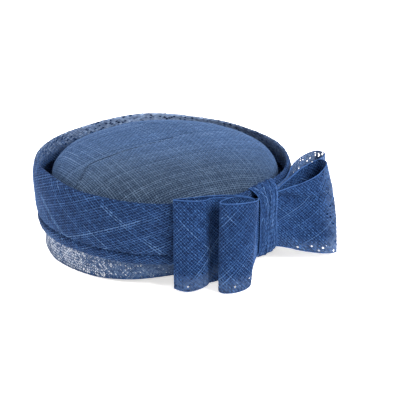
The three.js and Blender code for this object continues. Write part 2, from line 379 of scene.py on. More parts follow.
# %% Carry the threads onto the sheet
parity = math_node(
    weave_tree, "FLOORED_MODULO", math_node(weave_tree, "ADD", thread_number, crossing_number), 2.0
)
side = math_node(weave_tree, "SUBTRACT", math_node(weave_tree, "MULTIPLY", parity, 2.0), 1.0)
with_side = stored(weave_tree, laid_flat.outputs[0], "over", side)
own_place = weave_tree.nodes.new("GeometryNodeInputPosition").outputs[0]
where = add_node(weave_tree, "ShaderNodeSeparateXYZ", {0: own_place}).outputs
round_ring = math_node(weave_tree, "WRAP", where["X"], given["Ring length"], 0.0)
cut_place = add_node(weave_tree, "ShaderNodeCombineXYZ", {"X": round_ring, "Y": where["Y"]}).outputs[0]
flat_map = add_node(
    weave_tree, "GeometryNodeInputNamedAttribute", {"Name": "flat"}, data_type="FLOAT_VECTOR"
).outputs[0]


def sampled(field):
    """A vector of the bent sheet, read where the flat thread point lies."""
    inputs = {"Mesh": given["Geometry"], "Value": field, "UV Map": flat_map, "Sample UV": cut_place}
    return add_node(weave_tree, "GeometryNodeSampleUVSurface", inputs, data_type="FLOAT_VECTOR")


sheet_place = sampled(own_place)
sheet_normal = sampled(weave_tree.nodes.new("GeometryNodeInputNormal").outputs[0])
sheet_sheer = sampled(read_number(weave_tree, "sheer"))
too_early = math_node(weave_tree, "LESS_THAN", where["X"], -SEAM_LAP)
ring_end = math_node(weave_tree, "ADD", given["Ring length"], SEAM_LAP)
too_late = math_node(weave_tree, "GREATER_THAN", where["X"], ring_end)
off_cloth = math_node(weave_tree, "SUBTRACT", 1.0, sheet_place.outputs["Is Valid"])
cut_away = math_node(weave_tree, "ADD", off_cloth, math_node(weave_tree, "ADD", too_early, too_late))
trimmed = add_node(
    weave_tree,
    "GeometryNodeDeleteGeometry",
    {"Geometry": with_side, "Selection": math_node(weave_tree, "GREATER_THAN", cut_away, 0.5)},
    domain="POINT",
)
with_sheer = stored(weave_tree, trimmed.outputs[0], "sheer", sheet_sheer.outputs[0])
step = math_node(weave_tree, "MULTIPLY", read_number(weave_tree, "over"), given["Crimp"])
step_out = scaled(weave_tree, sheet_normal.outputs[0], step)
woven_place = vector_node(weave_tree, "ADD", sheet_place.outputs[0], step_out)
woven = add_node(
    weave_tree, "GeometryNodeSetPosition", {"Geometry": with_sheer, "Position": woven_place}
)
print("threads carried onto the sheet:", len(weave_tree.nodes), "nodes")

# %% [markdown]
# Straw threads are split from leaves, so no two are the same: most are thin, some a shade lighter, and here
# and there one swells into a pale slub for a few centimetres and thins again. Each thread draws its width and
# its shade from its own number with a fixed seed, and a slow noise along the cloth says where a slub shows,
# so the cloth comes out the same each time.

# %% Give each thread its width and shade
THIN, THICK = 0.82, 1.16
PALEST_PLAIN = 0.72
SLUB_SWELL = 0.3
GRAIN_SCALE = 260.0


def thread_draw(low, high, salt):
    """A number that each thread draws for itself."""
    seed = math_node(weave_tree, "ADD", given["Thread seed"], salt)
    return random_node(weave_tree, low, high, thread_number, seed)


patch = noise_node(weave_tree, given["Slub patches"], 0.0)["Fac"]
may_slub = math_node(weave_tree, "LESS_THAN", thread_draw(0.0, 1.0, 7), given["Slub share"])
is_slub = math_node(weave_tree, "MULTIPLY", may_slub, soft_range(weave_tree, patch, 0.44, 0.62))
shade = math_node(weave_tree, "MAXIMUM", thread_draw(0.0, PALEST_PLAIN, 13), is_slub)
with_shade = stored(weave_tree, woven.outputs[0], "shade", shade)
slub_width = math_node(weave_tree, "MULTIPLY", is_slub, SLUB_SWELL)
width = math_node(weave_tree, "ADD", thread_draw(THIN, THICK, 29), slub_width)
grain = noise_node(weave_tree, GRAIN_SCALE, 0.0)["Fac"]
swelling = math_node(weave_tree, "MULTIPLY_ADD", grain, 0.8, 0.6)
own_radius = math_node(weave_tree, "MULTIPLY", width, swelling)
radius = math_node(weave_tree, "MULTIPLY", given["Radius"], own_radius)
close_tree(weave_tree, swept(weave_tree, with_shade, 3, radius), given["Material"])
print("weave tree finished:", len(weave_tree.nodes), "nodes")

# %% [markdown]
# A modifier reads its inputs by identifier, and they are set before the object is first evaluated. The
# result is then taken as a plain mesh, so nothing live is left on the piece, and its object stays at the
# origin, as the CAD nodes do.

# %% Run a tree and keep the mesh
def input_ids(tree):
    """Socket identifiers of a tree's inputs, by name."""
    return {
        item.name: item.identifier
        for item in tree.interface.items_tree
        if item.item_type == "SOCKET" and item.in_out == "INPUT"
    }


def grow(name, tree, mesh, values):
    """New object with the plain mesh that a tree makes of a mesh."""
    seed_object = bpy.data.objects.new(name + "_source", mesh)
    bpy.context.scene.collection.objects.link(seed_object)
    modifier = seed_object.modifiers.new(tree.name, "NODES")
    modifier.node_group = tree
    ids = input_ids(tree)
    for label, value in values.items():
        modifier[ids[label]] = value
    bpy.context.view_layer.update()
    evaluated = seed_object.evaluated_get(bpy.context.evaluated_depsgraph_get())
    grown = bpy.data.objects.new(name, bpy.data.meshes.new_from_object(evaluated))
    grown.data.name = name
    bpy.context.scene.collection.objects.link(grown)
    bpy.data.objects.remove(seed_object)
    return grown


print("inputs of the weave:", list(input_ids(weave_tree)))

# %% [markdown]
# Dyed straw has a soft, slightly waxy look: matt, with a faint sheen along the fibre. The thread's own
# shade picks its colour from a short ramp, and fine noise along it gives the uneven dye. Light and shade are
# painted on the weave: a thread is painted a little lighter where it passes over and darker where it dives
# under. Where the cloth is a single layer with light behind it, as at the back of the rim, daylight is
# painted into the threads themselves. What is the same all over, such as the sheen, is set on the shader
# itself.

# %% Helpers for materials
SHEEN_ROUGHNESS = 0.45
SHEEN_TINT = (0.75, 0.85, 1.0, 1.0)


def new_material(name, roughness, sheen, shine):
    material = bpy.data.materials.new(name)
    material.use_nodes = True
    shader = material.node_tree.nodes["Principled BSDF"]
    shader.inputs["Roughness"].default_value = roughness
    shader.inputs["Specular IOR Level"].default_value = shine
    shader.inputs["Sheen Weight"].default_value = sheen
    shader.inputs["Sheen Roughness"].default_value = SHEEN_ROUGHNESS
    shader.inputs["Sheen Tint"].default_value = SHEEN_TINT
    return material, material.node_tree, shader


def colour_ramp(tree, factor, stops):
    """Colour ramp from a factor, with (place, colour) stops."""
    made = add_node(tree, "ShaderNodeValToRGB", {"Fac": factor})
    ramp = made.color_ramp
    while len(ramp.elements) < len(stops):
        ramp.elements.new(0.5)
    for element, (place, colour) in zip(ramp.elements, stops):
        element.position = place
        element.color = (*colour, 1.0)
    return made.outputs["Color"]


def blended(tree, kind, share, first, second):
    """Two colours mixed in one of the blend modes."""
    inputs = {0: share, 6: first, 7: second}
    return add_node(tree, "ShaderNodeMix", inputs, data_type="RGBA", blend_type=kind).outputs[2]


def own_number(tree, name):
    """A number that the mesh carries, read in a material."""
    return add_node(tree, "ShaderNodeAttribute", attribute_name=name).outputs["Fac"]


print("sheen tint of the straw:", SHEEN_TINT[:3])

# %% Dyed straw thread
DAYLIGHT = (0.34, 0.45, 0.64)


def straw_thread(name, deep, middle, pale, tint=None, tint_share=None):
    """Thread material: colour by the thread's shade, uneven along the fibre."""
    material, tree, shader = new_material(name, roughness=0.62, sheen=0.03, shine=0.12)
    place = add_node(tree, "ShaderNodeTexCoord").outputs["Object"]
    dyed = colour_ramp(tree, own_number(tree, "shade"), [(0.0, deep), (0.55, middle), (1.0, pale)])
    blotch = noise_node(tree, 420.0, 2.0, place)["Fac"]
    uneven = colour_ramp(tree, blotch, [(0.3, (0.66, 0.68, 0.72)), (0.72, (1.22, 1.2, 1.16))])
    dyed = blended(tree, "MULTIPLY", 1.0, dyed, uneven)
    # tint: painted shade on the crown's front, and painted daylight specks on the base strip
    if tint:
        dyed = blended(tree, "MIX", tint_share(tree, place), dyed, (*tint, 1.0))
    through = add_node(
        tree,
        "ShaderNodeMapRange",
        {"Value": own_number(tree, "sheer"), "From Min": 0.6, "From Max": 1.0, "To Max": 0.5},
    )
    dyed = blended(tree, "MIX", through.outputs[0], dyed, (*DAYLIGHT, 1.0))
    # painted light and shade: lighter where a thread passes over, darker where it dives under
    raised = math_node(tree, "MULTIPLY_ADD", own_number(tree, "over"), 0.5, 0.5)
    over_under_shade = colour_ramp(tree, raised, [(0.0, (0.84, 0.86, 0.9)), (1.0, (1.08, 1.07, 1.05))])
    tree.links.new(blended(tree, "MULTIPLY", 1.0, dyed, over_under_shade), shader.inputs["Base Color"])
    fibre = noise_node(tree, 2600.0, 1.0, place)["Fac"]
    rough = math_node(tree, "MULTIPLY_ADD", fibre, 0.3, 0.46)
    tree.links.new(rough, shader.inputs["Roughness"])
    bump = add_node(tree, "ShaderNodeBump", {"Height": fibre, "Strength": 0.35, "Distance": 0.00008})
    tree.links.new(bump.outputs[0], shader.inputs["Normal"])
    return material


print("daylight through a single layer:", DAYLIGHT)

# %% [markdown]
# Two cloths differ over the hat. The crown is painted greyer and darker in front, as shade, with an uneven
# border. On the base strip pale specks are painted onto the threads, as daylight and the pale table seen
# through it: fine ones on the paler threads and where a thread passes over, and most at the hat's left side.
# Both are shares from 0 to 1, which a material blends in by the place on the hat.

# %% Colours of the threads
def front_shade_share(tree, place):
    """How near the front of the hat a point is, from 0 to 1, uneven at its border: the share of painted
    shade.
    """
    split = add_node(tree, "ShaderNodeSeparateXYZ", {0: place})
    drift = noise_node(tree, 22.0, 2.0, place)["Fac"]
    bent = math_node(tree, "MULTIPLY_ADD", drift, 0.03, split.outputs["Y"])
    return soft_range(tree, bent, 0.035, -0.055, 0.0, 0.55)


def speck_share(tree, place):
    """Painted daylight specks on a single layer, from 0 to 1: most on pale threads, and towards the hat's
    left side.
    """
    split = add_node(tree, "ShaderNodeSeparateXYZ", {0: place})
    left = soft_range(tree, split.outputs["X"], -0.01, -0.09, -0.17, 0.12)
    fine = noise_node(tree, 1050.0, 1.0, place)["Fac"]
    raised = math_node(tree, "MULTIPLY", own_number(tree, "over"), 0.09)
    threaded = math_node(tree, "MULTIPLY_ADD", own_number(tree, "shade"), 0.32, raised)
    specks = math_node(tree, "MULTIPLY_ADD", fine, 0.72, threaded)
    return soft_range(tree, math_node(tree, "ADD", specks, left), 0.575, 0.72, 0.0, 0.95)


bow_thread = straw_thread("bow_thread", (0.017, 0.053, 0.165), (0.034, 0.096, 0.262), (0.072, 0.15, 0.328))
band_thread = straw_thread("band_thread", (0.015, 0.045, 0.14), (0.031, 0.083, 0.222), (0.068, 0.138, 0.29))
crown_thread = straw_thread(
    "crown_thread",
    (0.035, 0.076, 0.176),
    (0.062, 0.116, 0.236),
    (0.096, 0.157, 0.282),
    (0.062, 0.085, 0.1),
    front_shade_share,
)
sheer_thread = straw_thread(
    "sheer_thread",
    (0.014, 0.038, 0.112),
    (0.034, 0.07, 0.16),
    (0.1, 0.15, 0.25),
    (0.62, 0.65, 0.7),
    speck_share,
)
shadow_thread = straw_thread("shadow_thread", (0.014, 0.028, 0.06), (0.024, 0.046, 0.09), (0.04, 0.07, 0.13))
print("thread materials:", [m.name for m in (bow_thread, band_thread, crown_thread, sheer_thread)])

# %% [markdown]
# Behind the top threads you look into the holes of the weave, and there lies the second layer of the folded
# cloth: mostly shadow, now and then a thread that catches the light. So the sheet gives every hole its own
# tone, by a white noise on the hole's whole number in the lattice map. Where the cloth is sheer some of the
# holes are left open instead, by the same kind of draw, and some of the others glow with daylight that comes
# through the single layer.

# %% Backing seen through the holes
OPEN_SHARE = 0.2


def backing_cloth(name, shadow, middle, lit, tint=None, tint_share=None):
    """Sheet material: a tone for each hole of the weave, and open holes where the cloth is sheer."""
    material, tree, shader = new_material(name, roughness=0.85, sheen=0.02, shine=0.05)
    lattice = add_node(tree, "ShaderNodeUVMap", uv_map="lattice").outputs[0]
    hole = vector_node(tree, "FLOOR", lattice)
    draw = add_node(tree, "ShaderNodeTexWhiteNoise", {"Vector": hole}, noise_dimensions="2D")
    tone = colour_ramp(tree, draw.outputs["Value"], [(0.0, shadow), (0.6, middle), (1.0, lit)])
    sheer = own_number(tree, "sheer")
    glow = math_node(tree, "MULTIPLY_ADD", draw.outputs["Value"], 0.6, 0.3)
    tone = blended(tree, "MIX", math_node(tree, "MULTIPLY", sheer, glow), tone, (*DAYLIGHT, 1.0))
    place = add_node(tree, "ShaderNodeTexCoord").outputs["Object"]
    # tint: painted shade on the crown's front, and painted daylight specks on the base strip
    if tint:
        tone = blended(tree, "MIX", tint_share(tree, place), tone, (*tint, 1.0))
    second = add_node(
        tree,
        "ShaderNodeTexNoise",
        {"Vector": vector_node(tree, "MULTIPLY", lattice, (0.35, 2.2, 1.0)), "Scale": 1.0, "Detail": 1.0},
        noise_dimensions="2D",
    )
    streak = colour_ramp(tree, second.outputs["Fac"], [(0.35, (0.75, 0.76, 0.8)), (0.7, (1.2, 1.18, 1.14))])
    tree.links.new(blended(tree, "MULTIPLY", 1.0, tone, streak), shader.inputs["Base Color"])
    height = second.outputs["Fac"]
    bump = add_node(tree, "ShaderNodeBump", {"Height": height, "Strength": 0.5, "Distance": 0.0002})
    tree.links.new(bump.outputs[0], shader.inputs["Normal"])
    other_hole = vector_node(tree, "ADD", hole, (31.0, 17.0, 0.0))
    open_draw = add_node(tree, "ShaderNodeTexWhiteNoise", {"Vector": other_hole}, noise_dimensions="2D")
    open_share = math_node(tree, "MULTIPLY", sheer, OPEN_SHARE)
    closed = math_node(tree, "GREATER_THAN", open_draw.outputs["Value"], open_share)
    tree.links.new(closed, shader.inputs["Alpha"])
    return material


bow_backing = backing_cloth("bow_backing", (0.004, 0.013, 0.044), (0.006, 0.019, 0.06), (0.01, 0.03, 0.09))
band_backing = backing_cloth(
    "band_backing", (0.004, 0.012, 0.038), (0.006, 0.017, 0.053), (0.01, 0.028, 0.08)
)
crown_backing = backing_cloth(
    "crown_backing",
    (0.011, 0.026, 0.065),
    (0.015, 0.033, 0.076),
    (0.02, 0.042, 0.09),
    (0.009, 0.013, 0.016),
    front_shade_share,
)
sheer_backing = backing_cloth(
    "sheer_backing",
    (0.008, 0.022, 0.065),
    (0.014, 0.036, 0.1),
    (0.04, 0.075, 0.15),
    (0.2, 0.25, 0.35),
    speck_share,
)
print("backing materials:", [m.name for m in (bow_backing, band_backing, crown_backing, sheer_backing)])

# %% [markdown]
# Each cloth piece is made the same way: the sheet from its grid, a hair-thin wall from Solidify, then the
# warp and the weft through it. One function does all of that and hides the CAD node that the pieces
# stand for, so that the cells below only have to describe shapes.

# %% Weave one piece of cloth
SHEET_THICKNESS = 0.00022
CRIMP = 0.00016
WEFT_SEED_STEP = 101
pieces = []


def settle(piece, node):
    """Rides a finished piece on the hat and hides the CAD node that it stands for."""
    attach(piece, "root")
    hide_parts(node)
    pieces.append(piece)
    return piece


def weave(node, points, sheer, cloth, ring, flat=None):
    """Sheet with its warp and weft threads, from a grid of points on the hat."""
    if flat is None:
        along, across = lay_flat(points)
        flat = np.stack(np.meshgrid(along, across, indexing="ij"), axis=-1)
    size = flat.reshape(-1, 2).max(axis=0)
    plan = plan_weave(size, cloth["pitch"], *cloth["slants"], ring)
    maps = {"flat": flat, "lattice": thread_counts(plan, flat)}
    mesh = grid_mesh(node + "_sheet", points, maps, sheer)
    seeds = (cloth["seed"], cloth["seed"] + WEFT_SEED_STEP)
    threads = []
    for family, label in enumerate(("warp", "weft")):
        other = 1 - family
        values = {
            "Thread step": (*plan["steps"][family], 0.0),
            "Crossing step": (*plan["steps"][other], 0.0),
            "Threads": int(plan["number"][family]),
            "Crossings": int(plan["number"][other]),
            "First thread": int(plan["first"][family]),
            "First crossing": int(plan["first"][other]),
            "Ring length": float(plan["length"]),
            "Radius": cloth["radius"],
            "Crimp": CRIMP if family else -CRIMP,
            "Wander": cloth["wander"],
            "Slub share": cloth["slubs"][family],
            "Slub patches": cloth["patches"],
            "Thread seed": seeds[family],
            "Crossing seed": seeds[other],
            "Material": cloth["thread"],
        }
        threads.append(settle(grow(f"{node}_{label}", weave_tree, mesh, values), node))
    sheet = bpy.data.objects.new(node + "_sheet", mesh)
    bpy.context.scene.collection.objects.link(sheet)
    mesh.materials.append(cloth["backing"])
    wall = sheet.modifiers.new("cloth_wall", "SOLIDIFY")
    wall.thickness = SHEET_THICKNESS
    wall.offset = 0.0
    settle(sheet, node)
    faces = [len(t.data.polygons) * 2 for t in threads]
    print(f"{node}: flat {size[0] * 1000:.0f} x {size[1] * 1000:.0f} mm, thread triangles about {faces}")
    return sheet, threads


print("sheet thickness:", SHEET_THICKNESS, "m; crimp:", CRIMP, "m")

# %% [markdown]
# Nowhere does this cloth end in a clean cut. The ribbons are folded lengthwise, the strip is hemmed, and
# the loose layer on the crown ends in a turned edge, so each free edge is a soft roll. A roll is a thin tube
# along the edge of the sheet. Geometry Nodes sweeps it, with a radius that swells and thins as cloth does.

# %% Tree for rolled edges
EDGE_INPUTS = {"Radius": "Float", "Shade": "Float", "Material": "Material"}

edge_tree, edge_given = open_tree("rolled_edge", EDGE_INPUTS)
edge_curve = add_node(edge_tree, "GeometryNodeMeshToCurve", {0: edge_given["Geometry"]})
edge_shade = stored(edge_tree, edge_curve.outputs[0], "shade", edge_given["Shade"])
edge_noise = noise_node(edge_tree, 330.0, 1.0)["Fac"]
edge_swell = math_node(edge_tree, "MULTIPLY_ADD", edge_noise, 0.9, 0.55)
edge_radius = math_node(edge_tree, "MULTIPLY", edge_given["Radius"], edge_swell)
close_tree(edge_tree, swept(edge_tree, edge_shade, 6, edge_radius), edge_given["Material"])


def rolled_edge(name, node, lines, radius, shade, material, closed):
    """Tube along one or more edge lines of a sheet."""
    vertices = np.concatenate(lines)
    edges = []
    start = 0
    for line in lines:
        count = len(line)
        edges += [(start + k, start + k + 1) for k in range(count - 1)]
        if closed:
            edges.append((start + count - 1, start))
        start += count
    mesh = bpy.data.meshes.new(name + "_line")
    mesh.from_pydata(vertices.tolist(), edges, [])
    values = {"Radius": radius, "Shade": shade, "Material": material}
    return settle(grow(name, edge_tree, mesh, values), node)


print("rolled edge tree:", len(edge_tree.nodes), "nodes")

# %% [markdown]
# The crown was blocked: damp cloth pulled over a round wooden form until it set. Its side wall hides behind
# the band, and its dome is a full, flat oval. Pulling a flat disc over the form keeps lengths from the
# middle outwards, so the flat map is the disc: the length down the dome as radius, the turn as angle. A
# second layer lies over the front half, and its edge shows as a long soft step across the top.

# %% Crown
CROWN_COLUMNS = 180
CROWN_WALL_ROWS = 12
CROWN_DOME_ROWS = 64
CROWN_FOOT = {"width": BELLY_WIDTH - 8.3, "depth": BELLY_DEPTH - 8.3}
SHOULDER = {"width": 87.45, "depth": 83.75, "shift": 2, "height": 56}
CROWN_RISE = 23.25
DOME_FULLNESS = 0.82
CROWN_FOOT_RISE = 4
FOOT_LIFT = {"height": 11.5, "turn": -42, "spread": 50, "cut": 0.1}


def foot_height(turn):
    """Height of the hat's lower edge, which lifts off the table behind the bow."""
    rise = bell(turn, FOOT_LIFT["turn"], FOOT_LIFT["spread"]) - FOOT_LIFT["cut"]
    return FOOT_LIFT["height"] * np.maximum(rise, 0) / (1 - FOOT_LIFT["cut"])


def crown_points(turn, wall, arc):
    """Crown about the hat's axis in millimetres: wall from 0 at the foot, arc from 0 to 90 degrees."""
    angle = np.radians(turn)
    reach = np.maximum(np.cos(np.radians(arc)), 0) ** DOME_FULLNESS
    width = CROWN_FOOT["width"] + (SHOULDER["width"] - CROWN_FOOT["width"]) * wall
    depth = CROWN_FOOT["depth"] + (SHOULDER["depth"] - CROWN_FOOT["depth"]) * wall
    foot = CROWN_FOOT_RISE + foot_height(turn)
    height = foot + (SHOULDER["height"] - foot) * wall + CROWN_RISE * np.sin(np.radians(arc))
    x = SHOULDER["shift"] * wall + width * reach * np.cos(angle)
    return np.stack([x, depth * reach * np.sin(angle), height], axis=-1)


turns = np.linspace(0, 360, CROWN_COLUMNS + 1)
wall_share = np.concatenate([np.linspace(0, 1, CROWN_WALL_ROWS + 1), np.ones(CROWN_DOME_ROWS)])
dome_share = np.linspace(0, 1, CROWN_DOME_ROWS + 1)[1:]
dome_arc = np.concatenate([np.zeros(CROWN_WALL_ROWS + 1), 90 * (1 - (1 - dome_share) ** 1.25)])
crown_grid = crown_points(turns[:, None], wall_share[None, :], dome_arc[None, :])
print("crown grid:", crown_grid.shape, "top at", crown_grid[..., 2].max().round(2), "mm")

# %% Step and creases on the crown
LAYER_EDGE = [
    (-70, -66), (-61.9, -46.5), (-59.3, -38.1), (-54.3, -29.6), (-39.4, -22.4), (-29, -15.8),
    (-16.2, -7.8), (-4.7, 0.3), (15.6, 14.4), (27, 29), (33, 50),
]
LAYER_STEP = 1.1
LAYER_BLEND = 0.7
LAYER_GROOVE = {"depth": 0.7, "place": -0.8, "spread": 0.9}
BACK_FULLNESS = 2.0
RIPPLE = 0.35
SMALL_CREASE = [(25.7, -66.7), (35.9, -65.9), (46.1, -65)]
CREASE_DEPTH = 0.7
CREASE_SPREAD = 1.6


def along_line(line, samples):
    """Even points along a given line, with the direction there."""
    points = smooth_curve(line, np.linspace(0, 1, samples), False)
    ahead = np.gradient(points, axis=0)
    return points, ahead / np.linalg.norm(ahead, axis=1, keepdims=True)


def signed_distance(plan_points, line, samples=160):
    """Distance from a line in plan, positive to the right of its direction, and the share along it."""
    points, ahead = along_line(line, samples)
    gap = plan_points[..., None, :] - points
    nearest = np.argmin(np.sum(gap**2, axis=-1), axis=-1)
    gap = np.take_along_axis(gap, nearest[..., None, None], axis=-2)[..., 0, :]
    direction = ahead[nearest]
    side = gap[..., 0] * direction[..., 1] - gap[..., 1] * direction[..., 0]
    return np.sign(side) * np.linalg.norm(gap, axis=-1), nearest / (samples - 1)


plan = crown_grid[..., :2]
edge_gap, edge_share = signed_distance(plan, LAYER_EDGE)
on_dome = ease(dome_arc, 4, 16)[None, :]
layer_height = LAYER_STEP * (1 - 0.75 * ease(edge_share, 0.72, 1.0)) * on_dome
crown_grid[..., 2] += layer_height * (ease(edge_gap, -LAYER_BLEND, LAYER_BLEND) - 1)
from_groove = (edge_gap - LAYER_GROOVE["place"]) / LAYER_GROOVE["spread"]
groove = np.exp(-(from_groove**2)) * (1 - ease(edge_share, 0.78, 1.0)) * on_dome
crown_grid[..., 2] -= LAYER_GROOVE["depth"] * groove
crease_gap, crease_share = signed_distance(plan, SMALL_CREASE)
crease_fade = ease(crease_share, 0.0, 0.3) * (1 - ease(crease_share, 0.7, 1.0))
crown_grid[..., 2] -= CREASE_DEPTH * np.exp(-((crease_gap / CREASE_SPREAD) ** 2)) * crease_fade
ripple = np.sin(plan[..., 0] / 13 + 1.1) * np.sin(plan[..., 1] / 17 - 0.4)
crown_grid[..., 2] += RIPPLE * ripple * on_dome
crown_grid[..., 2] += BACK_FULLNESS * ease(plan[..., 1], -15, 60) * on_dome
crown_grid[:, -1] = crown_grid[:, -1].mean(axis=0)
print("crown step:", LAYER_STEP, "mm; groove cells:", int((groove > 0.5).sum()))

# %% Weave the crown
CROWN_CLOTH = {
    "pitch": 0.00185, "slants": (-62, 28), "radius": 0.00036, "wander": 0.0006,
    "slubs": (0.03, 0.04), "patches": 38.0, "seed": 5, "thread": crown_thread, "backing": crown_backing,
}
FLAT_MARGIN = 0.004

steps_down = np.linalg.norm(np.diff(crown_grid[:, ::-1], axis=1), axis=2).mean(axis=0)
from_middle = np.concatenate([[0], np.cumsum(steps_down)])[::-1] * MM
headings = np.stack([np.cos(np.radians(turns)), np.sin(np.radians(turns))], axis=-1)
crown_flat = from_middle[None, :, None] * headings[:, None] + from_middle.max() + FLAT_MARGIN
crown_sheer = np.zeros(crown_grid.shape[:2])
crown_points_m = on_hat(*np.moveaxis(crown_grid, -1, 0))
crown_sheet, crown_threads = weave(
    "crown", crown_points_m, crown_sheer, CROWN_CLOTH, False, crown_flat
)

# %% Turned edge on the crown
SEEN_EDGE = slice(14, 108)
LAYER_EDGE_RISE = 0.1
LAYER_EDGE_ROLL = 0.00034
ROLL_SHADE = 0.3

edge_line = along_line(LAYER_EDGE, 140)[0][SEEN_EDGE]
dome = crown_grid[:-1, CROWN_WALL_ROWS + 2:-1].reshape(-1, 3)
near = np.argsort(np.sum((dome[None, :, :2] - edge_line[:, None]) ** 2, axis=2), axis=1)[:, :6]
edge_height = dome[near][..., 2].max(axis=1) + LAYER_EDGE_RISE
edge_height = np.convolve(np.pad(edge_height, 4, mode="edge"), np.ones(9) / 9, mode="valid")
layer_edge_points = on_hat(edge_line[:, 0], edge_line[:, 1], edge_height)
# the roll is near black, in shadow_thread: painted shade along the edge of the loose layer
crown_edge = rolled_edge(
    "crown_layer_edge", "crown", [layer_edge_points],
    LAYER_EDGE_ROLL, ROLL_SHADE, shadow_thread, False,
)
print("turned edge:", len(crown_edge.data.polygons), "faces")

# %% [markdown]
# The band is one wide bias strip, folded double at the rim so that its upper edge is a soft roll. Lower
# down it is tucked: the face ends in a lip, and a second narrow fold looks out below it before the hem turns
# under. A section through all of that is drawn once and swept round the hat, and it breathes a little as it
# goes, because hand-tacked folds are never level. At the left the lower fold swells out, under the bow the
# face is pressed in, and at the back and round the sides the inside of the rim is a single layer that light
# comes through: a few of its holes are left open, and daylight is painted into its threads and holes.

# %% Folds and rim of the band
BAND_SECTION = [
    {"fold": "inside", "out": -3.0, "height": 49},
    {"fold": "inside", "out": -2.2, "height": 57},
    {"fold": "inside rim", "out": -2.3, "height": 64},
    {"fold": "inside rim", "out": -2.45, "height": 66.5},
    {"fold": "rim", "out": -1.75, "height": 67.45},
    {"fold": "outside rim", "out": -1.0, "height": 66.7},
    {"fold": "shoulder", "out": -0.3, "height": 62},
    {"fold": "belly", "out": -0.15, "height": 53},
    {"fold": "face", "out": -0.55, "height": 44},
    {"fold": "face", "out": -1.0, "height": 36},
    {"fold": "lip", "out": -1.7, "height": 30.6},
    {"fold": "lip", "out": -2.3, "height": 28.6},
    {"fold": "lip edge", "out": -3.1, "height": 28.0},
    {"fold": "tuck", "out": -4.2, "height": 28.7},
    {"fold": "tuck", "out": -4.5, "height": 27.9},
    {"fold": "pleat", "out": -4.0, "height": 27.0},
    {"fold": "pleat", "out": -3.3, "height": 25.2},
    {"fold": "pleat", "out": -3.8, "height": 21.8},
    {"fold": "hem", "out": -5.0, "height": 19.2},
    {"fold": "hem edge", "out": -5.9, "height": 18.9},
    {"fold": "turned under", "out": -6.3, "height": 20.6},
]
RIM_WAVE = [
    {"turn": -152, "rise": 3, "draw": 3.6},
    {"turn": -125, "rise": 1.4, "draw": 2},
    {"turn": -95, "rise": 0.3, "draw": 0},
    {"turn": -41, "rise": 0, "draw": 0},
    {"turn": 8, "rise": 0, "draw": 2.3},
    {"turn": 40, "rise": -0.5, "draw": 3},
    {"turn": 65, "rise": 0, "draw": 1.2},
    {"turn": 98, "rise": 2.3, "draw": 0},
    {"turn": 135, "rise": 0, "draw": 1.5},
    {"turn": 175, "rise": 0.5, "draw": 1},
]
print("rows of the band's section:", len(BAND_SECTION))

# %% Band
BAND_COLUMNS = 250
BAND_ROWS = 90
HEM_HEIGHT, BELLY_HEIGHT, RIM_HEIGHT = 19, 53, 67
LOW_FOLDS = (36, 27)
PLEAT_SWELL = {"out": 1.5, "turn": 195, "spread": 38, "heights": (28.5, 26)}
BOW_DENT = {"depth": 3, "turn": -41, "spread": 16, "heights": (19, 37)}


def eased_table(turn, rows, key):
    """A value of a table by turn, eased between its rows."""
    ordered = rows + [{**rows[0], "turn": rows[0]["turn"] + 360}]
    wrapped = (turn - ordered[0]["turn"]) % 360 + ordered[0]["turn"]
    value = np.zeros_like(wrapped)
    for before, after in zip(ordered, ordered[1:]):
        inside = (wrapped >= before["turn"]) & (wrapped <= after["turn"])
        share = ease(wrapped, before["turn"], after["turn"])
        value = np.where(inside, before[key] + (after[key] - before[key]) * share, value)
    return value


section = smooth_curve(
    [(row["out"], row["height"]) for row in BAND_SECTION], np.linspace(0, 1, BAND_ROWS), False
)
band_turn = np.linspace(90, 450, BAND_COLUMNS + 1)[:, None]
out, height = section[:, 0][None, :], section[:, 1][None, :]
low_share = ease(height, *LOW_FOLDS)
breath = np.radians(band_turn)
out = out + low_share * (0.35 * np.sin(3 * breath + 0.6) + 0.25 * np.sin(7 * breath + 2.0))
at_swell = bell(band_turn, PLEAT_SWELL["turn"], PLEAT_SWELL["spread"])
out = out + PLEAT_SWELL["out"] * at_swell * ease(height, *PLEAT_SWELL["heights"])
height_wave = 0.5 * np.sin(2 * breath + 1.3) + 0.35 * np.sin(5 * breath)
near_rim = np.maximum((height - BELLY_HEIGHT) / (RIM_HEIGHT - BELLY_HEIGHT), 0)
dent = BOW_DENT["depth"] * ease(height, *BOW_DENT["heights"])
dent = dent * bell(band_turn, BOW_DENT["turn"], BOW_DENT["spread"])
inward = dent + eased_table(band_turn, RIM_WAVE, "draw") * near_rim**2
lift = eased_table(band_turn, RIM_WAVE, "rise") * (height - HEM_HEIGHT) / (RIM_HEIGHT - HEM_HEIGHT)
slow_wave = 0.25 * np.sin(4 * breath + height / 9) * ease(height, 30, 42) * (1 - near_rim)
band_points = around_hat(band_turn, out - inward + slow_wave, height + lift + low_share * height_wave)
print("band grid:", band_points.shape)

# %% Weave the band
BAND_CLOTH = {
    "pitch": 0.00195, "slants": (38, -23), "radius": 0.00033, "wander": 0.0006,
    "slubs": (0.13, 0.08), "patches": 46.0, "seed": 11, "thread": band_thread, "backing": band_backing,
}
BACK_TURN = 95
THINNEST = {"turn": 92, "spread": 36, "share": 0.38}

from_back = turn_between(BACK_TURN, band_turn)
at_back = ease(from_back, -112, -80) * ease(from_back, 142, 116)
inside = ease(np.linspace(0, 1, BAND_ROWS)[None, :], 0.21, 0.16)
thinnest = THINNEST["share"] * (bell(band_turn, THINNEST["turn"], THINNEST["spread"]) - 1) + 1
band_sheer = at_back * thinnest * inside * ease(height, 50, 62)
band_sheet, band_threads = weave("band", band_points, band_sheer, BAND_CLOTH, True)
print("band laid flat:", [round(side, 3) for side in flat_size(band_points)], "m")
